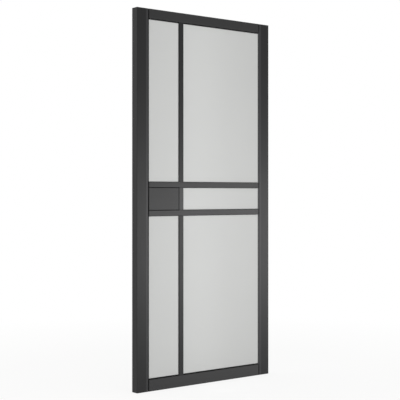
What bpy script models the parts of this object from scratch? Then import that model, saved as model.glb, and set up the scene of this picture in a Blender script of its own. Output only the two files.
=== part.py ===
"""Glazed interior door leaf: two rebated stiles, coped rails and glazing bars, a lock block,
five panes of satin glass and the mitred beads that hold them from behind.

Metres, +Z up. The front face looks along -Y. The hinge edge lies in the plane x = 0 with the
origin at its centre, and the leaf reaches to -X, so the lock edge is at x = -LEAF_WIDTH.
"""

from math import sqrt

import bmesh
import bpy
from mathutils import Vector

# The leaf
LEAF_HEIGHT = 1.981
LEAF_WIDTH = 0.915
LEAF_THICKNESS = 0.044

# Widths of the members, seen from the front
STILE_WIDTH = 0.0765
TOP_RAIL_WIDTH = 0.0545
BOTTOM_RAIL_WIDTH = 0.066
BAR_WIDTH = 0.030

# Clear openings that set where the bars stand
NARROW_LITE_WIDTH = 0.1957
LOCK_LITE_HEIGHT = 0.118

# The moulded edge: a shadow step on stiles and rails, and a lip in front of the glass
STEP_WIDTH = 0.0055
STEP_DEPTH = 0.0018
LIP_THICKNESS = 0.0022
REBATE_WIDTH = 0.010

# The groove routed round the lock block after assembly
GROOVE_WIDTH = 0.004
GROOVE_DEPTH = 0.006

# Glass and beads
GLASS_THICKNESS = 0.006
GLASS_EDGE_CLEARANCE = 0.002
GLASS_ARRIS = 0.0005
BEAD_SETBACK = 0.0005
BEAD_CHAMFER = 0.003

# Softened edges, and the clearance between pieces that seat on each other
ARRIS = 0.0012
ARRIS_SEGMENTS = 2
SEAT_GAP = 0.0003

# How far a cutter reaches past what it cuts
CUT_PAST = 0.005

FRONT = -LEAF_THICKNESS / 2
BACK = LEAF_THICKNESS / 2
LIP_BACK = FRONT + STEP_DEPTH + LIP_THICKNESS
TONGUE_FRONT = LIP_BACK + SEAT_GAP
GLASS_FRONT = LIP_BACK + SEAT_GAP
BEAD_FRONT = GLASS_FRONT + GLASS_THICKNESS + SEAT_GAP
BEAD_BACK = BACK - BEAD_SETBACK

# Edges of the clear openings, across the leaf and up it from the sill to the top rail
LOCK_EDGE = -LEAF_WIDTH
LOCK_SIDE = LOCK_EDGE + STILE_WIDTH
MULLION_LOCK_SIDE = LOCK_SIDE + NARROW_LITE_WIDTH
MULLION_HINGE_SIDE = MULLION_LOCK_SIDE + BAR_WIDTH
HINGE_SIDE = -STILE_WIDTH

FOOT = -LEAF_HEIGHT / 2
HEAD = LEAF_HEIGHT / 2
SILL = FOOT + BOTTOM_RAIL_WIDTH
GLAZED_HEIGHT = LEAF_HEIGHT - BOTTOM_RAIL_WIDTH - TOP_RAIL_WIDTH
TALL_LITE_HEIGHT = (GLAZED_HEIGHT - 2 * BAR_WIDTH - LOCK_LITE_HEIGHT) / 2
LOWER_BAR_FOOT = SILL + TALL_LITE_HEIGHT
LOCK_FOOT = LOWER_BAR_FOOT + BAR_WIDTH
LOCK_HEAD = LOCK_FOOT + LOCK_LITE_HEIGHT
UPPER_BAR_HEAD = LOCK_HEAD + BAR_WIDTH
LINTEL = HEAD - TOP_RAIL_WIDTH


def clear_scene():
    for obj in list(bpy.data.objects):
        bpy.data.objects.remove(obj, do_unlink=True)


def srgb(hex_colour):
    """A linear RGBA colour from an sRGB hex string."""
    channels = [int(hex_colour[i : i + 2], 16) / 255 for i in (0, 2, 4)]
    linear = [c / 12.92 if c <= 0.04045 else ((c + 0.055) / 1.055) ** 2.4 for c in channels]
    return (*linear, 1.0)


def make_material(name, hex_colour, roughness, transmission=0.0):
    material = bpy.data.materials.new(name)
    material.use_nodes = True
    material.diffuse_color = srgb(hex_colour)
    shader = material.node_tree.nodes["Principled BSDF"]
    shader.inputs["Base Color"].default_value = srgb(hex_colour)
    shader.inputs["Roughness"].default_value = roughness
    shader.inputs["Metallic"].default_value = 0.0
    shader.inputs["Transmission Weight"].default_value = transmission
    return material


def add_object(name, shape, location, material, parent):
    """Turns a bmesh into a named object at its place."""
    mesh = bpy.data.meshes.new(name)
    bmesh.ops.recalc_face_normals(shape, faces=shape.faces)
    shape.to_mesh(mesh)
    shape.free()
    mesh.materials.append(material)
    obj = bpy.data.objects.new(name, mesh)
    bpy.context.scene.collection.objects.link(obj)
    obj.location = location
    obj.parent = parent
    return obj


def soften(obj, width=ARRIS, segments=ARRIS_SEGMENTS):
    """Rounds the edges that carry a bevel weight."""
    bevel = obj.modifiers.new("arris", "BEVEL")
    bevel.limit_method = "WEIGHT"
    bevel.width = width
    bevel.segments = segments


def cut(obj, cutters):
    for cutter in cutters:
        boolean = obj.modifiers.new("cut_" + cutter.name, "BOOLEAN")
        boolean.operation = "DIFFERENCE"
        boolean.solver = "EXACT"
        boolean.object = cutter


def extruded(outline, length, direction):
    """A prism over an outline of points, with the bevel weights still at zero."""
    shape = bmesh.new()
    face = shape.faces.new([shape.verts.new(point) for point in outline])
    moved = bmesh.ops.extrude_face_region(shape, geom=[face])["geom"]
    corners = [item for item in moved if isinstance(item, bmesh.types.BMVert)]
    bmesh.ops.translate(shape, verts=corners, vec=direction * length)
    return shape


def weigh_edges(shape, chosen):
    """Gives the edges that `chosen` accepts, by their two ends, a full bevel weight."""
    layer = shape.edges.layers.float.new("bevel_weight_edge")
    for edge in shape.edges:
        if chosen(edge.verts[0].co, edge.verts[1].co):
            edge[layer] = 1.0


def same(a, b):
    return abs(a - b) < 1e-6


def edge_profile(width):
    """Section of a stile or rail: its outer edge at 0 and, at `width`, the step, lip and rebate."""
    step_start = width - STEP_WIDTH
    rebate = width - REBATE_WIDTH
    return [
        (0, FRONT),
        (step_start, FRONT),
        (step_start, FRONT + STEP_DEPTH),
        (width, FRONT + STEP_DEPTH),
        (width, LIP_BACK),
        (rebate, LIP_BACK),
        (rebate, BACK),
        (0, BACK),
    ]


def edge_soft_lines(width):
    return [(0, FRONT), (0, BACK), (width - STEP_WIDTH, FRONT)]


def lip_notches(name, side, edge, stretches, parent):
    """Cutters that take a stile's lip away where a rail, a transom or the lock block meets it.

    They start a hair inside the lip, so that the side of the face stays whole.
    """
    near = edge + side * (STILE_WIDTH - STEP_WIDTH + SEAT_GAP)
    far = edge + side * (STILE_WIDTH + CUT_PAST)
    cutters = []
    for number, (foot, head) in enumerate(stretches, start=1):
        low = (min(near, far), FRONT - CUT_PAST, foot)
        high = (max(near, far), LIP_BACK + CUT_PAST, head)
        cutters.append(box_cutter(f"{name}_notch_{number}", low, high, parent))
    return cutters


def stile(name, side, edge, stretches, material, parent):
    """A full-height stile, its lip notched along the stretches where other members meet it.

    `side` is +1 where the leaf lies towards +X.
    """
    outline = [(side * across, depth, 0) for across, depth in edge_profile(STILE_WIDTH)]
    shape = extruded(outline, LEAF_HEIGHT, Vector((0, 0, 1)))
    soft_lines = edge_soft_lines(STILE_WIDTH)

    def is_soft(a, b):
        if same(a.z, b.z):
            on_a_face = same(a.y, b.y) and (same(a.y, FRONT) or same(a.y, BACK))
            on_the_edge = same(a.x, 0) and same(b.x, 0)
            return on_a_face or on_the_edge
        return any(same(abs(a.x), across) and same(a.y, depth) for across, depth in soft_lines)

    weigh_edges(shape, is_soft)
    obj = add_object(name, shape, (edge, 0, FOOT), material, parent)
    soften(obj)
    cut(obj, lip_notches(name, side, edge, stretches, parent))
    return obj


def bar_profile():
    """Section of a glazing bar: a flat lip in front and a web behind, with a rebate on each side."""
    return [
        (0, FRONT),
        (BAR_WIDTH, FRONT),
        (BAR_WIDTH, LIP_BACK),
        (BAR_WIDTH - REBATE_WIDTH, LIP_BACK),
        (BAR_WIDTH - REBATE_WIDTH, BACK),
        (REBATE_WIDTH, BACK),
        (REBATE_WIDTH, LIP_BACK),
        (0, LIP_BACK),
    ]


def cross_member(name, profile, soft_lines, foot, up, copes, material, parent):
    """A rail or transom between the stiles. `up` is -1 where the profile runs down from the head."""
    start = LOCK_SIDE - REBATE_WIDTH + SEAT_GAP
    end = HINGE_SIDE + REBATE_WIDTH - SEAT_GAP
    outline = [(0, depth, up * across) for across, depth in profile]
    shape = extruded(outline, end - start, Vector((1, 0, 0)))

    def is_soft(a, b):
        if not same(a.z, b.z) or not same(a.y, b.y):
            return False
        return any(same(abs(a.z), across) and same(a.y, depth) for across, depth in soft_lines)

    weigh_edges(shape, is_soft)
    obj = add_object(name, shape, (start, 0, foot), material, parent)
    soften(obj)
    cut(obj, copes)
    return obj


def mullion(name, foot, head, copes, material, parent):
    """A vertical bar between two cross members, its web running on behind their lips."""
    start = foot - REBATE_WIDTH + SEAT_GAP
    end = head + REBATE_WIDTH - SEAT_GAP
    outline = [(across, depth, 0) for across, depth in bar_profile()]
    shape = extruded(outline, end - start, Vector((0, 0, 1)))

    def is_soft(a, b):
        if same(a.z, b.z):
            return False
        return same(a.y, FRONT) or same(a.y, BACK)

    weigh_edges(shape, is_soft)
    obj = add_object(name, shape, (MULLION_LOCK_SIDE, 0, start), material, parent)
    soften(obj)
    cut(obj, copes)
    return obj


def box_cutter(name, low, high, parent):
    """A closed box that cuts and is never part of the leaf."""
    low, high = Vector(low), Vector(high)
    shape = bmesh.new()
    bmesh.ops.create_cube(shape, size=1.0)
    size = high - low
    bmesh.ops.scale(shape, verts=shape.verts, vec=size)
    bmesh.ops.translate(shape, verts=shape.verts, vec=size / 2)
    return hide_cutter(name, shape, low, parent)


def hide_cutter(name, shape, location, parent):
    mesh = bpy.data.meshes.new(name)
    bmesh.ops.recalc_face_normals(shape, faces=shape.faces)
    shape.to_mesh(mesh)
    shape.free()
    obj = bpy.data.objects.new(name, mesh)
    bpy.context.scene.collection.objects.link(obj)
    obj.location = location
    obj.parent = parent
    obj.hide_render = True
    obj.display_type = "WIRE"
    return obj


def stile_copes(parent):
    """Cutters that shorten the front of a cross member to the stiles' lips."""
    reach = STILE_WIDTH + CUT_PAST
    low_y, high_y = FRONT - CUT_PAST, TONGUE_FRONT
    bottom, top = FOOT - CUT_PAST, HEAD + CUT_PAST
    lock_end = LOCK_SIDE + SEAT_GAP
    hinge_end = HINGE_SIDE - SEAT_GAP
    return [
        box_cutter("lock_cope", (lock_end - reach, low_y, bottom), (lock_end, high_y, top), parent),
        box_cutter("hinge_cope", (hinge_end, low_y, bottom), (hinge_end + reach, high_y, top), parent),
    ]


def end_copes(name, place, out, meets_rail, parent):
    """Cutters that scribe one end of a mullion's front. `out` is +1 at the head and -1 at the foot.

    The front stops at a transom's lip. At a rail it runs on over the rail's step, to its face.
    """
    low_x, high_x = MULLION_LOCK_SIDE - CUT_PAST, MULLION_HINGE_SIDE + CUT_PAST
    seat = place - out * SEAT_GAP
    past = seat + out * (REBATE_WIDTH + CUT_PAST)
    lip_front = FRONT + STEP_DEPTH - SEAT_GAP if meets_rail else FRONT - CUT_PAST
    cuts = [("lip", seat, lip_front)]
    if meets_rail:
        cuts.append(("face", seat + out * STEP_WIDTH, FRONT - CUT_PAST))
    cutters = []
    for label, near, front in cuts:
        low = (low_x, front, min(near, past))
        high = (high_x, TONGUE_FRONT, max(near, past))
        cutters.append(box_cutter(f"{name}_{label}", low, high, parent))
    return cutters


def groove_cutter(parent):
    """The router's path above, beside and below the lock block, centred on the joint lines."""
    half = GROOVE_WIDTH / 2
    start = LOCK_SIDE - STEP_WIDTH / 2
    path = [
        (start, LOCK_FOOT - half),
        (MULLION_LOCK_SIDE + half, LOCK_FOOT - half),
        (MULLION_LOCK_SIDE + half, LOCK_HEAD + half),
        (start, LOCK_HEAD + half),
        (start, LOCK_HEAD - half),
        (MULLION_LOCK_SIDE - half, LOCK_HEAD - half),
        (MULLION_LOCK_SIDE - half, LOCK_FOOT + half),
        (start, LOCK_FOOT + half),
    ]
    outline = [(x, FRONT - CUT_PAST, z) for x, z in path]
    shape = extruded(outline, CUT_PAST + GROOVE_DEPTH, Vector((0, 1, 0)))
    return hide_cutter("lock_block_groove", shape, (0, 0, 0), parent)


def lock_block(groove, material, parent):
    """A solid block whose flange fills the rebates and whose field stands level with the frame."""
    width = MULLION_LOCK_SIDE - LOCK_SIDE + 2 * (REBATE_WIDTH - SEAT_GAP)
    height = LOCK_HEAD - LOCK_FOOT + 2 * (REBATE_WIDTH - SEAT_GAP)
    depth = BACK - TONGUE_FRONT
    shape = bmesh.new()
    bmesh.ops.create_cube(shape, size=1.0)
    bmesh.ops.scale(shape, verts=shape.verts, vec=(width, depth, height))
    front = min(shape.faces, key=lambda face: face.calc_center_median().y)
    bmesh.ops.inset_region(shape, faces=[front], thickness=REBATE_WIDTH, use_even_offset=True)
    field = bmesh.ops.extrude_face_region(shape, geom=[front])["geom"]
    bmesh.ops.delete(shape, geom=[front], context="FACES_ONLY")
    raised = [item for item in field if isinstance(item, bmesh.types.BMVert)]
    bmesh.ops.translate(shape, verts=raised, vec=(0, FRONT - TONGUE_FRONT, 0))
    weigh_edges(shape, lambda a, b: same(a.y, depth / 2) and same(b.y, depth / 2))
    location = (
        (LOCK_SIDE + MULLION_LOCK_SIDE) / 2,
        (BACK + TONGUE_FRONT) / 2,
        (LOCK_FOOT + LOCK_HEAD) / 2,
    )
    obj = add_object("lock_block", shape, location, material, parent)
    soften(obj)
    cut(obj, [groove])
    return obj


def pane(name, low, high, material, parent):
    """A sheet of glass with seamed edges, standing in the rebates round its opening."""
    lap = REBATE_WIDTH - GLASS_EDGE_CLEARANCE
    size = Vector((high[0] - low[0] + 2 * lap, GLASS_THICKNESS, high[1] - low[1] + 2 * lap))
    shape = bmesh.new()
    bmesh.ops.create_cube(shape, size=1.0)
    bmesh.ops.scale(shape, verts=shape.verts, vec=size)
    weigh_edges(shape, lambda a, b: same(a.y, b.y))
    location = ((low[0] + high[0]) / 2, GLASS_FRONT + GLASS_THICKNESS / 2, (low[1] + high[1]) / 2)
    obj = add_object(name, shape, location, material, parent)
    soften(obj, GLASS_ARRIS, 1)
    return obj


def bead(name, corner, along, inward, length, material, parent):
    """A bead from a corner of the rebate, mitred at both ends and chamfered towards the glass."""
    width = REBATE_WIDTH - SEAT_GAP
    profile = [
        (0, BEAD_FRONT),
        (width, BEAD_FRONT),
        (width, BEAD_BACK - BEAD_CHAMFER),
        (width - BEAD_CHAMFER, BEAD_BACK),
        (0, BEAD_BACK),
    ]
    back_off = SEAT_GAP * sqrt(0.5)
    shape = bmesh.new()
    ends = []
    for start in (True, False):
        ring = []
        for across, depth in profile:
            run = across + back_off if start else length - across - back_off
            ring.append(shape.verts.new(along * run + inward * across + Vector((0, depth, 0))))
        ends.append(shape.faces.new(ring))
    edges = [edge for end in ends for edge in end.edges]
    bmesh.ops.bridge_loops(shape, edges=edges)
    return add_object(name, shape, corner, material, parent)


def glaze(name, low, high, glass, lacquer, parent):
    """One pane and the four beads behind it. `low` and `high` are corners of the clear opening."""
    pane(name + "_glass", low, high, glass, parent)
    sink = REBATE_WIDTH - SEAT_GAP
    left, right = low[0] - sink, high[0] + sink
    bottom, top = low[1] - sink, high[1] + sink
    x_axis, z_axis = Vector((1, 0, 0)), Vector((0, 0, 1))
    wide, tall = right - left, top - bottom
    bead(name + "_bead_bottom", (left, 0, bottom), x_axis, z_axis, wide, lacquer, parent)
    bead(name + "_bead_top", (left, 0, top), x_axis, -z_axis, wide, lacquer, parent)
    bead(name + "_bead_lock", (left, 0, bottom), z_axis, x_axis, tall, lacquer, parent)
    bead(name + "_bead_hinge", (right, 0, bottom), z_axis, -x_axis, tall, lacquer, parent)


def frame_members(lacquer, parent):
    """Stiles, rails, transoms and mullions."""
    bottom = (FOOT - CUT_PAST, SILL - STEP_WIDTH)
    top = (LINTEL + STEP_WIDTH, HEAD + CUT_PAST)
    block = (LOWER_BAR_FOOT, UPPER_BAR_HEAD)
    bars = [(LOWER_BAR_FOOT, LOCK_FOOT), (LOCK_HEAD, UPPER_BAR_HEAD)]
    stile("lock_stile", 1, LOCK_EDGE, [bottom, block, top], lacquer, parent)
    stile("hinge_stile", -1, 0, [bottom, *bars, top], lacquer, parent)
    copes = stile_copes(parent)
    groove = groove_cutter(parent)
    rails = [
        ("bottom_rail", BOTTOM_RAIL_WIDTH, FOOT, 1),
        ("top_rail", TOP_RAIL_WIDTH, HEAD, -1),
    ]
    for name, width, foot, up in rails:
        cross_member(name, edge_profile(width), edge_soft_lines(width), foot, up, copes, lacquer, parent)
    soft = [(0, FRONT), (BAR_WIDTH, FRONT), (REBATE_WIDTH, BACK), (BAR_WIDTH - REBATE_WIDTH, BACK)]
    for name, foot in (("lower_transom", LOWER_BAR_FOOT), ("upper_transom", LOCK_HEAD)):
        cross_member(name, bar_profile(), soft, foot, 1, copes + [groove], lacquer, parent)
    stages = [
        ("mullion_lower", SILL, LOWER_BAR_FOOT, []),
        ("mullion_middle", LOCK_FOOT, LOCK_HEAD, [groove]),
        ("mullion_upper", UPPER_BAR_HEAD, LINTEL, []),
    ]
    for name, foot, head, more_cuts in stages:
        scribes = end_copes(name + "_foot", foot, -1, foot == SILL, parent)
        scribes += end_copes(name + "_head", head, 1, head == LINTEL, parent)
        mullion(name, foot, head, scribes + more_cuts, lacquer, parent)
    lock_block(groove, lacquer, parent)


def build():
    clear_scene()
    leaf = bpy.data.objects.new("door_leaf", None)
    bpy.context.scene.collection.objects.link(leaf)
    lacquer = make_material("satin_black_lacquer", "1C1C1D", 0.38)
    glass = make_material("satin_glass", "D9DBDA", 0.45, 0.6)
    frame_members(lacquer, leaf)
    narrow = (LOCK_SIDE, MULLION_LOCK_SIDE)
    wide = (MULLION_HINGE_SIDE, HINGE_SIDE)
    lites = [
        ("upper_narrow", narrow, (UPPER_BAR_HEAD, LINTEL)),
        ("upper_wide", wide, (UPPER_BAR_HEAD, LINTEL)),
        ("middle_wide", wide, (LOCK_FOOT, LOCK_HEAD)),
        ("lower_narrow", narrow, (SILL, LOWER_BAR_FOOT)),
        ("lower_wide", wide, (SILL, LOWER_BAR_FOOT)),
    ]
    for name, across, up in lites:
        glaze(name, (across[0], up[0]), (across[1], up[1]), glass, lacquer, leaf)


build()
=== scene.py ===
"""Dresses a glazed interior door leaf: black satin lacquer on the joinery, acid-etched glass,
the bedding round each pane, the filled pins in the beads, and a plain pale studio.

Metres, +Z up. The front of the leaf looks along -Y and the foot stands on the floor.
"""

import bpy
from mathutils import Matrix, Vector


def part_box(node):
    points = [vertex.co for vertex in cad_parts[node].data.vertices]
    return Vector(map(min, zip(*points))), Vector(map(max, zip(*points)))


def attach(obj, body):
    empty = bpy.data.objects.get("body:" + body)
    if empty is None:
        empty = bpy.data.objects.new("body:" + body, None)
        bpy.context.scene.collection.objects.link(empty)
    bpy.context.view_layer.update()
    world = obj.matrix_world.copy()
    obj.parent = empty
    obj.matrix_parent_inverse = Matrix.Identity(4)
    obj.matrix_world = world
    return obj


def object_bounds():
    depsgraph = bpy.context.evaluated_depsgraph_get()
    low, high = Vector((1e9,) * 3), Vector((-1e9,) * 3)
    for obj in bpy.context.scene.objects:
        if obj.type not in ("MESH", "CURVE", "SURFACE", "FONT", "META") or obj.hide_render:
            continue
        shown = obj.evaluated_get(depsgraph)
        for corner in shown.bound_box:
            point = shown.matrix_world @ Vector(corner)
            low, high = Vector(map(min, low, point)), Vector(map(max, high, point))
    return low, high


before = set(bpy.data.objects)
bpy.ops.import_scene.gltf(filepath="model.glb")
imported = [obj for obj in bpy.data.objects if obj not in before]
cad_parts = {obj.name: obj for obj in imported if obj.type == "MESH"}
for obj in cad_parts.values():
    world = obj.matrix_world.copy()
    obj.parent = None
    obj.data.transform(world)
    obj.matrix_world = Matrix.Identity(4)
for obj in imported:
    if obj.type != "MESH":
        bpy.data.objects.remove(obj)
CAD_BOX = [list(corner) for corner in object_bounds()]

import math

import bpy
from bpy.props import FloatProperty, FloatVectorProperty, PointerProperty
from mathutils import Vector

bl_info = {
    "name": "Glazed Door Leaf",
    "version": (1, 0, 0),
    "blender": (4, 5, 0),
    "location": "3D View > Sidebar > Door",
    "description": "Finishes a glazed interior door leaf and stands it in a plain studio",
    "category": "Object",
}

MM = 0.001
BODY = "root"
LITES = ("upper_narrow", "upper_wide", "middle_wide", "lower_narrow", "lower_wide")
LONG_MULLIONS = ("mullion_lower", "mullion_upper")
RAILS = ("bottom_rail", "top_rail")
CROSSPIECES = ("lower_transom", "upper_transom", "lock_block")

# What the solids keep: how far a pane runs behind its sight line, and the gap between two pieces
GLASS_LAP = 8 * MM
SEAT_GAP = 0.3 * MM

# The chamfer at a bead's back corner
BEAD_CHAMFER = 3 * MM

# How close the sealant comes to what it seals
BEDDING_EASE = 0.03 * MM

# The notches in the stiles' lips, where a pane's corner would show between a stile and a bar or
# rail: their width, the room left round the sealant that fills them, the step of a rail that hides
# their start, and how far the sealant reaches up or down, how thick it is and how round its edges
NOTCH_WIDTH = 5.5 * MM
NOTCH_EASE = 0.05 * MM
RAIL_STEP = 5.5 * MM
FILL_REACH = 11 * MM
FILL_DEPTH = 2.4 * MM
FILL_ROUNDING = 0.4 * MM

# The filled pins: how far they reach into a bead and stand out of it, how far the first lies from
# a bead's end, and the way they face on each bead
PIN_SINK = 0.3 * MM
PIN_STAND = 0.15 * MM
PIN_MARGIN = 45 * MM
PIN_FACING = {
    "bottom": Vector((0, 0, 1)),
    "top": Vector((0, 0, -1)),
    "lock": Vector((1, 0, 0)),
    "hinge": Vector((-1, 0, 0)),
}

# Where the painted shade in the steps and grooves ends: the depth of the deepest floor, the blur of
# the line, and the margin round the leaf that has none of it
PAINTED_RECESS_FLOOR = 6.5 * MM
PAINTED_RECESS_BLUR = 0.25 * MM
PAINTED_RECESS_MARGIN = 28 * MM

# A stile's width to the sight line, and the fade of the paler band of painted highlight beside the
# glass
STILE_WIDTH = 76.5 * MM
HIGHLIGHT_BAND_BLUR = 5 * MM

# The size of the soft clouds and ripples in a finish
LACQUER_CLOUD = 180 * MM
GLASS_CLOUD = 250 * MM
SOFT_RIPPLE = 6 * MM

# The floor, and how far from the leaf it fades to the white of the room
FLOOR_RADIUS = 30.0
FADE_START, FADE_END = 1.2, 3.0

# The softboxes: where each hangs, its width and its height
LOW_SOFTBOX = ((1.75, -2.6, -0.44), 2.0, 1.4)
FRONT_SOFTBOX = ((-1.6, -3.4, -0.1), 2.4, 1.6)
EDGE_SOFTBOX = ((-3.4, 3.2, 0.7), 2.4, 3.4)
GLEAM_STRIP = ((-0.51, -0.3, 0.1), 0.05, 2.1)

# The camera that took the picture, worked out from its vanishing points
CAMERA_PLACE = (-3.912, -4.250, 0.034)
CAMERA_TURN = 38.9
LENS = 90.9
SENSOR = 36.0
PICTURE_SIDE = 400.0
HORIZON_ABOVE_MIDDLE = 6.5

# Sockets of a Mix node set to colours
MIX_FACTOR, MIX_FIRST, MIX_SECOND, MIX_RESULT = 0, 6, 7, 2


def linear(hex_colour):
    """A linear RGB colour from an sRGB hex string."""
    channels = [int(hex_colour[i : i + 2], 16) / 255 for i in (0, 2, 4)]
    return tuple(c / 12.92 if c <= 0.04045 else ((c + 0.055) / 1.055) ** 2.4 for c in channels)


def rgba(colour, share=1.0):
    return (*(channel * share for channel in colour), 1.0)


class LacquerSettings(bpy.types.PropertyGroup):
    colour: FloatVectorProperty(
        name="Colour",
        description="Colour of the lacquer film",
        subtype="COLOR",
        size=3,
        min=0.0,
        max=1.0,
        default=linear("171718"),
    )
    roughness: FloatProperty(
        name="Roughness",
        description="Width of the sheen, from mirror to chalk",
        subtype="FACTOR",
        min=0.0,
        max=1.0,
        default=0.40,
    )
    sheen: FloatProperty(
        name="Sheen",
        description="Specular level of the film on the stiles, long mullions and beads",
        subtype="FACTOR",
        min=0.0,
        max=1.0,
        default=0.25,
    )
    level_sheen: FloatProperty(
        name="Sheen on transoms",
        description="Specular level of the film on the transoms and the block",
        subtype="FACTOR",
        min=0.0,
        max=1.0,
        default=0.31,
    )
    rail_sheen: FloatProperty(
        name="Sheen on rails",
        description="Specular level of the film on the top and bottom rails",
        subtype="FACTOR",
        min=0.0,
        max=1.0,
        default=0.40,
    )
    block_sheen: FloatProperty(
        name="Sheen beside the block",
        description="Specular level of the film on the short mullion beside the block",
        subtype="FACTOR",
        min=0.0,
        max=1.0,
        default=0.37,
    )
    # The painted highlight: the width and tone of a paler band along a stile's inner side
    band: FloatProperty(
        name="Band beside the glass",
        description="Width of the strip along a stile's inner side where the film is paler",
        subtype="DISTANCE",
        unit="LENGTH",
        min=0.0,
        default=16 * MM,
    )
    highlight_band_tone: FloatProperty(
        name="Band's tone",
        description="How many times as pale as the rest the film is in that strip",
        min=1.0,
        default=3.5,
    )
    # Depth behind the front from which the steps and grooves get painted shade
    painted_recess_depth: FloatProperty(
        name="Black below",
        description="Depth behind the front from which the steps and grooves are dead black",
        subtype="DISTANCE",
        unit="LENGTH",
        min=0.2 * MM,
        default=0.6 * MM,
    )
    peel: FloatProperty(
        name="Orange peel",
        description="Distance between the ripples that the spray gun leaves",
        subtype="DISTANCE",
        unit="LENGTH",
        min=0.5 * MM,
        default=3.0 * MM,
    )
    grain_width: FloatProperty(
        name="Grain width",
        description="Width of the timber grain that shows through the film",
        subtype="DISTANCE",
        unit="LENGTH",
        min=0.5 * MM,
        default=2.5 * MM,
    )
    grain_length: FloatProperty(
        name="Grain length",
        description="Length of a grain streak along the member",
        subtype="DISTANCE",
        unit="LENGTH",
        min=5 * MM,
        default=160 * MM,
    )


class GlassSettings(bpy.types.PropertyGroup):
    colour: FloatVectorProperty(
        name="Colour",
        description="Tone of the acid-etched glass",
        subtype="COLOR",
        size=3,
        min=0.0,
        max=1.0,
        default=linear("CFD0CF"),
    )
    clarity: FloatProperty(
        name="Light let through",
        description="Share of the light that passes the pane",
        subtype="FACTOR",
        min=0.0,
        max=1.0,
        default=0.07,
    )
    etch: FloatProperty(
        name="Etch size",
        description="Distance between the pits of the etched face",
        subtype="DISTANCE",
        unit="LENGTH",
        min=0.2 * MM,
        default=1.5 * MM,
    )


class TrimSettings(bpy.types.PropertyGroup):
    bedding: FloatProperty(
        name="Bedding",
        description="How far the sealant shows past the timber, round each pane",
        subtype="DISTANCE",
        unit="LENGTH",
        min=0.2 * MM,
        default=1.5 * MM,
    )
    pin_diameter: FloatProperty(
        name="Pin diameter",
        description="Width of the filled hole over each pin",
        subtype="DISTANCE",
        unit="LENGTH",
        min=0.5 * MM,
        default=2.0 * MM,
    )
    pin_spacing: FloatProperty(
        name="Pin spacing",
        description="Greatest distance between the pins along a bead",
        subtype="DISTANCE",
        unit="LENGTH",
        min=30 * MM,
        default=150 * MM,
    )


class StudioSettings(bpy.types.PropertyGroup):
    floor_colour: FloatVectorProperty(
        name="Floor",
        description="Colour of the studio floor",
        subtype="COLOR",
        size=3,
        min=0.0,
        max=1.0,
        default=linear("F4F4F2"),
    )
    ambient: FloatProperty(
        name="Ambient",
        description="Strength of the light that comes from all round",
        min=0.0,
        default=0.82,
    )
    softbox: FloatProperty(
        name="Low softbox",
        description="Power of the low softbox that the lacquer mirrors",
        subtype="POWER",
        unit="POWER",
        min=0.0,
        default=58.0,
    )
    fill: FloatProperty(
        name="Fill",
        description="Power of the softbox in front, and of the one that lights the lock edge",
        subtype="POWER",
        unit="POWER",
        min=0.0,
        default=10.0,
    )
    gleam: FloatProperty(
        name="Gleam",
        description="Power of the strip that gives the panes their upright gleam",
        subtype="POWER",
        unit="POWER",
        min=0.0,
        default=0.5,
    )


def add_node(tree, kind, values=None, links=None, **settings):
    """Adds a node with its settings, its sockets' values and the outputs linked into it."""
    node = tree.nodes.new(kind)
    for name, value in settings.items():
        setattr(node, name, value)
    for socket, value in (values or {}).items():
        node.inputs[socket].default_value = value
    for socket, source in (links or {}).items():
        tree.links.new(source, node.inputs[socket])
    return node


def new_tree(name):
    """A new material with an empty tree."""
    material = bpy.data.materials.new(name)
    material.use_nodes = True
    material.node_tree.nodes.clear()
    return material, material.node_tree


def leaf_middle():
    """The middle of the whole leaf."""
    return tuple((low + high) / 2 for low, high in zip(*CAD_BOX))


def half_size(axis):
    return (CAD_BOX[1][axis] - CAD_BOX[0][axis]) / 2


def painted_recess_mask(tree, place):
    """1 in the steps and grooves of the joinery, where the lacquer gets painted shade, and on the
    hinge stile's step painted light.

    Those are the faces a little behind the front, down to the deepest floor. A margin round the
    leaf is left out, because its edge faces lie at the same depths.
    """
    finish = bpy.context.scene.door_lacquer
    front = CAD_BOX[0][1]
    depth = add_node(tree, "ShaderNodeSeparateXYZ", links={"Vector": place}).outputs["Y"]
    start = front + finish.painted_recess_depth
    behind = add_node(
        tree,
        "ShaderNodeMapRange",
        {"From Min": start - PAINTED_RECESS_BLUR, "From Max": start + PAINTED_RECESS_BLUR},
        {"Value": depth},
    )
    end = front + PAINTED_RECESS_FLOOR
    before = add_node(
        tree,
        "ShaderNodeMapRange",
        {"From Min": end + PAINTED_RECESS_BLUR, "From Max": end - PAINTED_RECESS_BLUR},
        {"Value": depth},
    )
    inner = add_node(
        tree,
        "ShaderNodeVectorMath",
        {1: leaf_middle()},
        {0: place},
        operation="SUBTRACT",
    )
    inner = add_node(
        tree,
        "ShaderNodeVectorMath",
        links={0: inner.outputs["Vector"]},
        operation="ABSOLUTE",
    )
    inner = add_node(tree, "ShaderNodeSeparateXYZ", links={"Vector": inner.outputs["Vector"]})
    factors = [before.outputs["Result"]]
    for axis, letter in ((0, "X"), (2, "Z")):
        within = add_node(
            tree,
            "ShaderNodeMath",
            {1: half_size(axis) - PAINTED_RECESS_MARGIN},
            {0: inner.outputs[letter]},
            operation="LESS_THAN",
        )
        factors.append(within.outputs[0])
    mask = behind.outputs["Result"]
    for factor in factors:
        product = add_node(tree, "ShaderNodeMath", links={0: mask, 1: factor}, operation="MULTIPLY")
        mask = product.outputs[0]
    return mask


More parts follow.
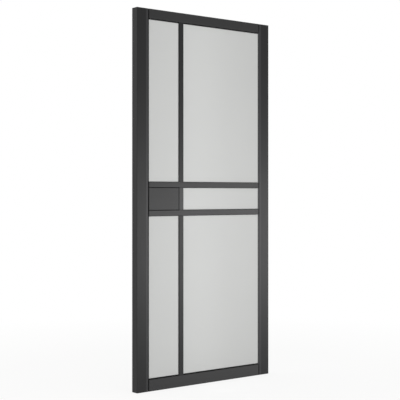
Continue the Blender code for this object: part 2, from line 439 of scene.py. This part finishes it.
def painted_highlight_band(tree, place, side):
    """1 in the painted highlight, a band of a stile beside the glass, fading out away from it.

    `side` is -1 at the lock stile and 1 at the hinge stile.
    """
    finish = bpy.context.scene.door_lacquer
    sight = CAD_BOX[0][0] + STILE_WIDTH if side < 0 else CAD_BOX[1][0] - STILE_WIDTH
    across = add_node(tree, "ShaderNodeSeparateXYZ", links={"Vector": place}).outputs["X"]
    edge = sight + side * finish.band
    return add_node(
        tree,
        "ShaderNodeMapRange",
        {"From Min": edge + side * HIGHLIGHT_BAND_BLUR, "From Max": edge},
        {"Value": across},
    ).outputs["Result"]


def satin_lacquer(name, along, sheen, painted_recess_tone=0.2, painted_recess_roughening=0.6, stile_side=0):
    """Pigmented satin lacquer, sprayed on timber whose grain runs along one axis.

    The eye sees a near-black film with a wide soft sheen, a faint orange peel from the gun and a
    trace of the grain beneath. The peel is really about 1 mm apart and the grain under 1 mm wide,
    and both are drawn about three times as coarse, so that they show.

    In the steps and grooves the film gets painted shade and more roughness, so they look dead black:
    `painted_recess_tone` is their tone as a share of the film's, and `painted_recess_roughening` what
    their roughness gains. The hinge stile's step gets painted light instead, paler than the film. A
    stile also has a painted highlight, a paler band beside the glass: `stile_side` is -1 for the lock
    stile, 1 for the hinge stile and 0 for any other member.
    """
    finish = bpy.context.scene.door_lacquer
    material, tree = new_tree(name)
    place = add_node(tree, "ShaderNodeTexCoord").outputs["Object"]
    stretch = [1 / finish.grain_width] * 3
    stretch["XYZ".index(along)] = 1 / finish.grain_length
    grain_place = add_node(tree, "ShaderNodeMapping", {"Scale": stretch}, {"Vector": place})
    grain = add_node(
        tree,
        "ShaderNodeTexNoise",
        {"Scale": 1.0, "Detail": 3.0, "Roughness": 0.6},
        {"Vector": grain_place.outputs["Vector"]},
    )
    peel = add_node(
        tree,
        "ShaderNodeTexNoise",
        {"Scale": 1 / finish.peel, "Detail": 2.0, "Roughness": 0.45},
        {"Vector": place},
    )
    cloud = add_node(
        tree,
        "ShaderNodeTexNoise",
        {"Scale": 1 / LACQUER_CLOUD, "Detail": 2.0, "Roughness": 0.5},
        {"Vector": place},
    )
    tone = add_node(
        tree,
        "ShaderNodeMix",
        {MIX_FIRST: rgba(finish.colour, 0.90), MIX_SECOND: rgba(finish.colour, 1.12)},
        {MIX_FACTOR: cloud.outputs["Fac"]},
        data_type="RGBA",
    )
    # The painted highlight, a paler band of a stile beside the glass
    if stile_side:
        tone = add_node(
            tree,
            "ShaderNodeMix",
            {MIX_SECOND: rgba(finish.colour, finish.highlight_band_tone)},
            {MIX_FACTOR: painted_highlight_band(tree, place, stile_side), MIX_FIRST: tone.outputs[MIX_RESULT]},
            data_type="RGBA",
        )
    # Painted shade in the steps and grooves, and painted light on the hinge stile's step
    painted_recess = painted_recess_mask(tree, place)
    tone = add_node(
        tree,
        "ShaderNodeMix",
        {MIX_SECOND: rgba(finish.colour, painted_recess_tone)},
        {MIX_FACTOR: painted_recess, MIX_FIRST: tone.outputs[MIX_RESULT]},
        data_type="RGBA",
    )
    width = add_node(
        tree,
        "ShaderNodeMapRange",
        {
            "From Min": 0.3,
            "From Max": 0.7,
            "To Min": finish.roughness - 0.03,
            "To Max": finish.roughness + 0.03,
        },
        {"Value": grain.outputs["Fac"]},
    )
    recess_roughening = add_node(tree, "ShaderNodeMath", {1: painted_recess_roughening}, {0: painted_recess}, operation="MULTIPLY")
    width = add_node(
        tree,
        "ShaderNodeMath",
        links={0: width.outputs["Result"], 1: recess_roughening.outputs[0]},
        operation="ADD",
        use_clamp=True,
    )
    grain_relief = add_node(
        tree,
        "ShaderNodeBump",
        {"Strength": 0.15, "Distance": 0.03 * MM},
        {"Height": grain.outputs["Fac"]},
    )
    relief = add_node(
        tree,
        "ShaderNodeBump",
        {"Strength": 0.2, "Distance": 0.04 * MM},
        {"Height": peel.outputs["Fac"], "Normal": grain_relief.outputs["Normal"]},
    )
    shader = add_node(
        tree,
        "ShaderNodeBsdfPrincipled",
        {"Metallic": 0.0, "IOR": 1.45, "Specular IOR Level": sheen},
        {
            "Base Color": tone.outputs[MIX_RESULT],
            "Roughness": width.outputs[0],
            "Normal": relief.outputs["Normal"],
        },
    )
    add_node(tree, "ShaderNodeOutputMaterial", links={"Surface": shader.outputs["BSDF"]})
    return material


def satin_glass():
    """Float glass with both faces etched in acid.

    The eye sees an even, pale, silky grey that lets a little light through and shows nothing
    behind it. The pits are really finer than a tenth of a millimetre, and are drawn more than ten
    times as coarse, so that they show.
    """
    finish = bpy.context.scene.door_glass
    material, tree = new_tree("acid_etched_glass")
    place = add_node(tree, "ShaderNodeTexCoord").outputs["Object"]
    pits = add_node(
        tree,
        "ShaderNodeTexNoise",
        {"Scale": 1 / finish.etch, "Detail": 2.0, "Roughness": 0.5},
        {"Vector": place},
    )
    cloud = add_node(
        tree,
        "ShaderNodeTexNoise",
        {"Scale": 1 / GLASS_CLOUD, "Detail": 1.0, "Roughness": 0.5},
        {"Vector": place},
    )
    tone = add_node(
        tree,
        "ShaderNodeMix",
        {MIX_FIRST: rgba(finish.colour, 0.99), MIX_SECOND: rgba(finish.colour, 1.01)},
        {MIX_FACTOR: cloud.outputs["Fac"]},
        data_type="RGBA",
    )
    silk = add_node(
        tree,
        "ShaderNodeMapRange",
        {"From Min": 0.3, "From Max": 0.7, "To Min": 0.52, "To Max": 0.60},
        {"Value": pits.outputs["Fac"]},
    )
    relief = add_node(
        tree,
        "ShaderNodeBump",
        {"Strength": 0.2, "Distance": 0.02 * MM},
        {"Height": pits.outputs["Fac"]},
    )
    shader = add_node(
        tree,
        "ShaderNodeBsdfPrincipled",
        {"IOR": 1.52, "Transmission Weight": finish.clarity},
        {
            "Base Color": tone.outputs[MIX_RESULT],
            "Roughness": silk.outputs["Result"],
            "Normal": relief.outputs["Normal"],
        },
    )
    add_node(tree, "ShaderNodeOutputMaterial", links={"Surface": shader.outputs["BSDF"]})
    return material


def soft_black(name, roughness, sheen):
    """Black silicone sealant smoothed with a finger, or the black wax in the pin holes.

    The eye sees a faintly rippled black, dead matt on the sealant and with a dull shine on the wax.
    """
    material, tree = new_tree(name)
    place = add_node(tree, "ShaderNodeTexCoord").outputs["Object"]
    ripple = add_node(
        tree,
        "ShaderNodeTexNoise",
        {"Scale": 1 / SOFT_RIPPLE, "Detail": 1.0},
        {"Vector": place},
    )
    tone = add_node(
        tree,
        "ShaderNodeMix",
        {MIX_FIRST: rgba(linear("0D0D0D")), MIX_SECOND: rgba(linear("151515"))},
        {MIX_FACTOR: ripple.outputs["Fac"]},
        data_type="RGBA",
    )
    relief = add_node(
        tree,
        "ShaderNodeBump",
        {"Strength": 0.4, "Distance": 0.1 * MM},
        {"Height": ripple.outputs["Fac"]},
    )
    shader = add_node(
        tree,
        "ShaderNodeBsdfPrincipled",
        {"IOR": 1.41, "Roughness": roughness, "Specular IOR Level": sheen},
        {"Base Color": tone.outputs[MIX_RESULT], "Normal": relief.outputs["Normal"]},
    )
    add_node(tree, "ShaderNodeOutputMaterial", links={"Surface": shader.outputs["BSDF"]})
    return material


def dress(names, material):
    """Gives solids of the frame a finish."""
    for name in names:
        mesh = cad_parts[name].data
        mesh.materials.clear()
        mesh.materials.append(material)


def finish_piece(piece, material):
    """Puts a new piece's place in its mesh, and gives it its finish, slot and body."""
    bpy.ops.object.select_all(action="DESELECT")
    bpy.context.view_layer.objects.active = piece
    piece.select_set(True)
    bpy.ops.object.transform_apply(location=True, rotation=True, scale=True)
    piece.data.materials.clear()
    piece.data.materials.append(material)
    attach(piece, BODY)


def select_faces(piece, chosen):
    """In edit mode, selects the faces whose normals `chosen` accepts."""
    bpy.ops.mesh.select_all(action="DESELECT")
    bpy.ops.mesh.select_mode(type="FACE")
    bpy.ops.object.mode_set(mode="OBJECT")
    for face in piece.data.polygons:
        face.select = chosen(piece.matrix_world.to_3x3() @ face.normal)
    bpy.ops.object.mode_set(mode="EDIT")


def select_points(piece, chosen):
    """In edit mode, selects the points whose places `chosen` accepts."""
    bpy.ops.mesh.select_mode(type="VERT")
    bpy.ops.mesh.select_all(action="DESELECT")
    bpy.ops.object.mode_set(mode="OBJECT")
    for point in piece.data.vertices:
        point.select = chosen(piece.matrix_world @ point.co)
    bpy.ops.object.mode_set(mode="EDIT")


def join_pieces(name, pieces):
    """Makes one named piece of several."""
    bpy.ops.object.select_all(action="DESELECT")
    for piece in pieces:
        piece.select_set(True)
    bpy.context.view_layer.objects.active = pieces[0]
    bpy.ops.object.join()
    pieces[0].name = name
    return pieces[0]


def sight_corners(lite):
    """The lowest and highest corner of a lite's clear opening, on its pane's two faces."""
    low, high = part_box(lite + "_glass")
    lap = Vector((GLASS_LAP, 0, GLASS_LAP))
    return Vector(low) + lap, Vector(high) - lap


def sealant_fillet(lite, out, show):
    """A wedge of sealant in the corner between a pane and its surround. `out` is -1 in front.

    A flat box is opened to a frame, and its inner crest is pushed down onto the glass.
    """
    low, high = sight_corners(lite)
    size = high - low
    glass = (low.y if out < 0 else high.y) + out * BEDDING_EASE
    centre = (low + high) / 2
    centre.y = glass + out * show / 2
    bpy.ops.object.select_all(action="DESELECT")
    bpy.ops.mesh.primitive_cube_add(
        size=1, location=centre, scale=(size.x - 2 * BEDDING_EASE, show, size.z - 2 * BEDDING_EASE)
    )
    fillet = bpy.context.object
    bpy.ops.object.transform_apply(location=False, rotation=False, scale=True)
    bpy.ops.object.mode_set(mode="EDIT")
    select_faces(fillet, lambda normal: abs(normal.y) > 0.9)
    bpy.ops.mesh.inset(thickness=show)
    bpy.ops.mesh.bridge_edge_loops()
    inner_x = size.x / 2 - BEDDING_EASE - show / 2
    inner_z = size.z / 2 - BEDDING_EASE - show / 2

    def is_inner_crest(place):
        inside = abs(place.x - centre.x) < inner_x and abs(place.z - centre.z) < inner_z
        return inside and (place.y - centre.y) * out > 0

    select_points(fillet, is_inner_crest)
    bpy.ops.transform.translate(value=(0, -out * show, 0))
    bpy.ops.mesh.remove_doubles(threshold=0.01 * MM, use_unselected=True)
    bpy.ops.mesh.select_all(action="SELECT")
    bpy.ops.mesh.normals_make_consistent(inside=False)
    bpy.ops.object.mode_set(mode="OBJECT")
    return fillet


def notch_fill(sight, side, out, start):
    """Sealant in a notch of a stile's lip, at a corner of a pane.

    `sight` is the corner of the clear opening, `side` is -1 at the lock stile, `out` points away
    from the pane, up or down, and `start` is where the fill begins.
    """
    centre = sight.copy()
    centre.x += side * (NOTCH_WIDTH / 2 - SEAT_GAP)
    centre.y -= BEDDING_EASE + FILL_DEPTH / 2
    centre.z += out * (start + FILL_REACH) / 2
    width = NOTCH_WIDTH - 2 * NOTCH_EASE
    height = FILL_REACH - start - 2 * NOTCH_EASE
    bpy.ops.object.select_all(action="DESELECT")
    bpy.ops.mesh.primitive_cube_add(size=1, location=centre, scale=(width, FILL_DEPTH, height))
    fill = bpy.context.object
    bpy.ops.object.transform_apply(location=False, rotation=False, scale=True)
    bpy.ops.object.mode_set(mode="EDIT")
    select_faces(fill, lambda normal: normal.y < -0.9)
    bpy.ops.mesh.bevel(offset=FILL_ROUNDING, segments=2, affect="EDGES")
    bpy.ops.object.mode_set(mode="OBJECT")
    return fill


def notch_fills(lite):
    """Fills for the two corners of a pane that lie at a stile."""
    low, high = sight_corners(lite)
    side = -1 if lite.endswith("narrow") else 1
    across = low.x if side < 0 else high.x
    for out, up, row_at_rail in ((-1, low.z, "lower"), (1, high.z, "upper")):
        start = RAIL_STEP if lite.startswith(row_at_rail) else 0
        yield notch_fill(Vector((across, low.y, up)), side, out, start)


def model_pin(trim):
    """The filled hole over a pin: a low dome with a softened rim, pointing up from the origin."""
    radius = trim.pin_diameter / 2
    bpy.ops.object.select_all(action="DESELECT")
    bpy.ops.mesh.primitive_cylinder_add(vertices=12, radius=radius, depth=PIN_SINK + PIN_STAND)
    pin = bpy.context.object
    bpy.ops.object.mode_set(mode="EDIT")
    select_faces(pin, lambda normal: normal.z > 0.9)
    bpy.ops.mesh.bevel(offset=PIN_STAND, segments=2, affect="EDGES")
    bpy.ops.mesh.select_all(action="SELECT")
    bpy.ops.transform.translate(value=(0, 0, (PIN_STAND - PIN_SINK) / 2))
    bpy.ops.object.mode_set(mode="OBJECT")
    bpy.ops.object.shade_smooth_by_angle(angle=math.radians(40))
    return pin


def pin_places(lite, side, trim):
    """Where the pins of one bead stand, and the way they face, out of its inner side."""
    low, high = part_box(lite + "_bead_" + side)
    facing = PIN_FACING[side]
    along = 0 if facing.x == 0 else 2
    start, run = low[along], high[along] - low[along]
    margin = min(PIN_MARGIN, run / 4)
    gaps = max(1, math.ceil((run - 2 * margin) / trim.pin_spacing))
    for number in range(gaps + 1):
        place = Vector([high[axis] if facing[axis] > 0 else low[axis] for axis in range(3)])
        place.y = (low[1] + high[1] - BEAD_CHAMFER) / 2
        place[along] = start + margin + number * (run - 2 * margin) / gaps
        yield place, facing


def drive_pins(lite, trim):
    """All the pin heads round one pane, as one piece."""
    model = model_pin(trim)
    pins = []
    for side in PIN_FACING:
        for place, facing in pin_places(lite, side, trim):
            pin = model.copy()
            pin.data = model.data.copy()
            pin.location = place
            pin.rotation_euler = facing.to_track_quat("Z", "Y").to_euler()
            bpy.context.scene.collection.objects.link(pin)
            pins.append(pin)
    bpy.data.objects.remove(model, do_unlink=True)
    return join_pieces("pins_" + lite, pins)


class DOOR_OT_lacquer_uprights(bpy.types.Operator):
    """Lacquers the stiles and mullions, with the grain running up"""

    bl_idname = "door.lacquer_uprights"
    bl_label = "Lacquer Uprights"

    def execute(self, context):
        sheen = context.scene.door_lacquer.sheen
        block_sheen = context.scene.door_lacquer.block_sheen
        dress(LONG_MULLIONS, satin_lacquer("satin_lacquer_on_mullions", "Z", sheen))
        dress(["mullion_middle"], satin_lacquer("satin_lacquer_beside_block", "Z", block_sheen))
        lock_lacquer = satin_lacquer("satin_lacquer_on_lock_stile", "Z", sheen, stile_side=-1)
        # The hinge stile's step gets painted light: seven times the film's tone, with no added
        # roughness
        hinge_lacquer = satin_lacquer(
            "satin_lacquer_on_hinge_stile",
            "Z",
            sheen,
            painted_recess_tone=7.0,
            painted_recess_roughening=0.0,
            stile_side=1,
        )
        dress(["lock_stile"], lock_lacquer)
        dress(["hinge_stile"], hinge_lacquer)
        return {"FINISHED"}


class DOOR_OT_lacquer_crosspieces(bpy.types.Operator):
    """Lacquers the rails, transoms and lock block, with the grain running across"""

    bl_idname = "door.lacquer_crosspieces"
    bl_label = "Lacquer Crosspieces"

    def execute(self, context):
        level_sheen = context.scene.door_lacquer.level_sheen
        rail_sheen = context.scene.door_lacquer.rail_sheen
        dress(CROSSPIECES, satin_lacquer("satin_lacquer_on_crosspieces", "X", level_sheen))
        dress(RAILS, satin_lacquer("satin_lacquer_on_rails", "X", rail_sheen))
        return {"FINISHED"}


class DOOR_OT_lacquer_beads(bpy.types.Operator):
    """Lacquers the glazing beads, each with the grain along it"""

    bl_idname = "door.lacquer_beads"
    bl_label = "Lacquer Beads"

    def execute(self, context):
        sheen = context.scene.door_lacquer.sheen
        upright = [lite + "_bead_" + side for lite in LITES for side in ("lock", "hinge")]
        level = [lite + "_bead_" + side for lite in LITES for side in ("bottom", "top")]
        dress(upright, satin_lacquer("satin_lacquer_on_upright_beads", "Z", sheen))
        dress(level, satin_lacquer("satin_lacquer_on_level_beads", "X", sheen))
        return {"FINISHED"}


class DOOR_OT_etch_glass(bpy.types.Operator):
    """Gives the panes their acid-etched finish"""

    bl_idname = "door.etch_glass"
    bl_label = "Etch Glass"

    def execute(self, context):
        dress([lite + "_glass" for lite in LITES], satin_glass())
        return {"FINISHED"}


class DOOR_OT_bed_panes(bpy.types.Operator):
    """Runs the black sealant round both faces of each pane, and into the notches at its corners"""

    bl_idname = "door.bed_panes"
    bl_label = "Bed Panes"

    def execute(self, context):
        sealant = soft_black("black_silicone_sealant", roughness=0.8, sheen=0.08)
        show = context.scene.door_trim.bedding
        for lite in LITES:
            runs = [sealant_fillet(lite, out, show) for out in (-1, 1)]
            runs += list(notch_fills(lite))
            finish_piece(join_pieces("bedding_" + lite, runs), sealant)
        return {"FINISHED"}


class DOOR_OT_pin_beads(bpy.types.Operator):
    """Fills the pin holes along the inner side of each bead"""

    bl_idname = "door.pin_beads"
    bl_label = "Pin Beads"

    def execute(self, context):
        filler = soft_black("black_wax_filler", roughness=0.5, sheen=0.3)
        for lite in LITES:
            finish_piece(drive_pins(lite, context.scene.door_trim), filler)
        return {"FINISHED"}


class DOOR_OT_light_stage(bpy.types.Operator):
    """Lays the floor, lights the studio and sets up the camera"""

    bl_idname = "door.light_stage"
    bl_label = "Light Stage"

    def execute(self, context):
        lay_floor(context.scene.door_studio)
        fill_room(context.scene.door_studio)
        hang_lamps(context.scene.door_studio)
        place_camera(context.scene)
        return {"FINISHED"}


def floor_paint(studio):
    """Matt white floor paint.

    The eye sees a soft shadow under the leaf on a floor that fades to the white of the room.
    """
    material, tree = new_tree("pale_matt_floor")
    place = add_node(tree, "ShaderNodeTexCoord").outputs["Object"]
    from_leaf = add_node(tree, "ShaderNodeVectorMath", links={0: place}, operation="LENGTH")
    fade = add_node(
        tree,
        "ShaderNodeMapRange",
        {"From Min": FADE_START, "From Max": FADE_END, "To Min": 0.85, "To Max": 1.0},
        {"Value": from_leaf.outputs["Value"]},
    )
    paint = add_node(tree, "ShaderNodeBsdfDiffuse", {"Color": rgba(studio.floor_colour)})
    glow = add_node(tree, "ShaderNodeEmission", {"Color": (1, 1, 1, 1), "Strength": 1.0})
    rays = add_node(tree, "ShaderNodeLightPath").outputs
    white = add_node(
        tree,
        "ShaderNodeMath",
        links={0: rays["Is Camera Ray"], 1: fade.outputs["Result"]},
        operation="MULTIPLY",
    )
    for kind in ("Is Glossy Ray", "Is Transmission Ray"):
        white = add_node(
            tree, "ShaderNodeMath", links={0: white.outputs[0], 1: rays[kind]}, operation="MAXIMUM"
        )
    surface = add_node(
        tree,
        "ShaderNodeMixShader",
        links={0: white.outputs[0], 1: paint.outputs["BSDF"], 2: glow.outputs["Emission"]},
    )
    add_node(tree, "ShaderNodeOutputMaterial", links={"Surface": surface.outputs["Shader"]})
    return material


def lay_floor(studio):
    """A wide level floor under the foot of the leaf."""
    middle = leaf_middle()
    foot = CAD_BOX[0][2]
    bpy.ops.object.select_all(action="DESELECT")
    bpy.ops.mesh.primitive_circle_add(
        vertices=96, radius=FLOOR_RADIUS, fill_type="NGON", location=(middle[0], 0, foot)
    )
    floor = bpy.context.object
    floor.name = "studio_floor"
    floor.data.materials.append(floor_paint(studio))


def fill_room(studio):
    """White all round where it is seen or mirrored, and a softer light on matt surfaces."""
    world = bpy.data.worlds.new("pale_room")
    bpy.context.scene.world = world
    world.use_nodes = True
    tree = world.node_tree
    tree.nodes.clear()
    rays = add_node(tree, "ShaderNodeLightPath").outputs
    seen = rays["Is Camera Ray"]
    for kind in ("Is Glossy Ray", "Is Transmission Ray"):
        greater = add_node(tree, "ShaderNodeMath", links={0: seen, 1: rays[kind]}, operation="MAXIMUM")
        seen = greater.outputs[0]
    light = add_node(
        tree, "ShaderNodeBackground", {"Color": (1, 1, 1, 1), "Strength": studio.ambient}
    )
    white = add_node(tree, "ShaderNodeBackground", {"Color": (1, 1, 1, 1), "Strength": 1.0})
    room = add_node(
        tree,
        "ShaderNodeMixShader",
        links={0: seen, 1: light.outputs["Background"], 2: white.outputs["Background"]},
    )
    add_node(tree, "ShaderNodeOutputWorld", links={"Surface": room.outputs["Shader"]})


def hang_lamp(name, hanging, aim, power, matt=True, mirrored=True):
    """A rectangular softbox, turned to face a point.

    `hanging` is its place, width and height. With `matt` off it lights only the sheen, and with
    `mirrored` off only what is matt.
    """
    place, width, height = hanging
    lamp = bpy.data.lights.new(name, "AREA")
    lamp.shape = "RECTANGLE"
    lamp.size = width
    lamp.size_y = height
    lamp.energy = power
    holder = bpy.data.objects.new(name, lamp)
    holder.location = place
    holder.visible_camera = False
    holder.visible_diffuse = matt
    holder.visible_glossy = mirrored
    towards = Vector(aim) - Vector(place)
    holder.rotation_euler = towards.to_track_quat("-Z", "Y").to_euler()
    bpy.context.scene.collection.objects.link(holder)


def hang_lamps(studio):
    """The four lamps of the studio.

    A low softbox off to the hinge side gives the lacquer its sheen, one in front fills, one
    lights the lock edge, and a strip close in front of the panes gives them an upright gleam.
    """
    middle = leaf_middle()
    gleam_x, _, gleam_z = GLEAM_STRIP[0]
    hang_lamp("low_softbox", LOW_SOFTBOX, middle, studio.softbox, matt=False)
    hang_lamp("front_softbox", FRONT_SOFTBOX, middle, studio.fill)
    hang_lamp("side_softbox", EDGE_SOFTBOX, middle, studio.fill)
    hang_lamp("strip_softbox", GLEAM_STRIP, (gleam_x, 0, gleam_z), studio.gleam, mirrored=False)


def place_camera(scene):
    """The level camera that sees the leaf as the picture does."""
    data = bpy.data.cameras.new("camera")
    data.sensor_width = SENSOR
    data.lens = LENS
    data.shift_y = -HORIZON_ABOVE_MIDDLE / PICTURE_SIDE
    data.clip_start, data.clip_end = 0.1, 100.0
    camera = bpy.data.objects.new("camera", data)
    camera.location = CAMERA_PLACE
    camera.rotation_euler = (math.radians(90), 0, -math.radians(CAMERA_TURN))
    scene.collection.objects.link(camera)
    scene.camera = camera


class DOOR_PT_finishes(bpy.types.Panel):
    """Lists the finishing steps and their settings"""

    bl_idname = "DOOR_PT_finishes"
    bl_label = "Door Leaf"
    bl_space_type = "VIEW_3D"
    bl_region_type = "UI"
    bl_category = "Door"

    def draw(self, context):
        groups = (
            ("Lacquer", context.scene.door_lacquer, LacquerSettings, LACQUER_STEPS),
            ("Glass", context.scene.door_glass, GlassSettings, GLASS_STEPS),
            ("Trim", context.scene.door_trim, TrimSettings, TRIM_STEPS),
            ("Studio", context.scene.door_studio, StudioSettings, STUDIO_STEPS),
        )
        for title, settings, group, steps in groups:
            box = self.layout.box()
            box.label(text=title)
            for name in group.__annotations__:
                box.prop(settings, name)
            for step in steps:
                box.operator(step.bl_idname)


LACQUER_STEPS = (DOOR_OT_lacquer_uprights, DOOR_OT_lacquer_crosspieces, DOOR_OT_lacquer_beads)
GLASS_STEPS = (DOOR_OT_etch_glass,)
TRIM_STEPS = (DOOR_OT_bed_panes, DOOR_OT_pin_beads)
STUDIO_STEPS = (DOOR_OT_light_stage,)
SETTINGS = {
    "door_lacquer": LacquerSettings,
    "door_glass": GlassSettings,
    "door_trim": TrimSettings,
    "door_studio": StudioSettings,
}
OPERATORS = LACQUER_STEPS + GLASS_STEPS + TRIM_STEPS + STUDIO_STEPS


def register():
    for name, group in SETTINGS.items():
        bpy.utils.register_class(group)
        setattr(bpy.types.Scene, name, PointerProperty(type=group))
    for kind in OPERATORS + (DOOR_PT_finishes,):
        bpy.utils.register_class(kind)


def unregister():
    for kind in reversed(OPERATORS + (DOOR_PT_finishes,)):
        bpy.utils.unregister_class(kind)
    for name, group in reversed(SETTINGS.items()):
        delattr(bpy.types.Scene, name)
        bpy.utils.unregister_class(group)


def main():
    register()
    bpy.context.scene.view_settings.view_transform = "Standard"
    bpy.ops.door.lacquer_uprights()
    bpy.ops.door.lacquer_crosspieces()
    bpy.ops.door.lacquer_beads()
    bpy.ops.door.etch_glass()
    bpy.ops.door.bed_panes()
    bpy.ops.door.pin_beads()
    bpy.ops.door.light_stage()


if __name__ == "__main__":
    main()
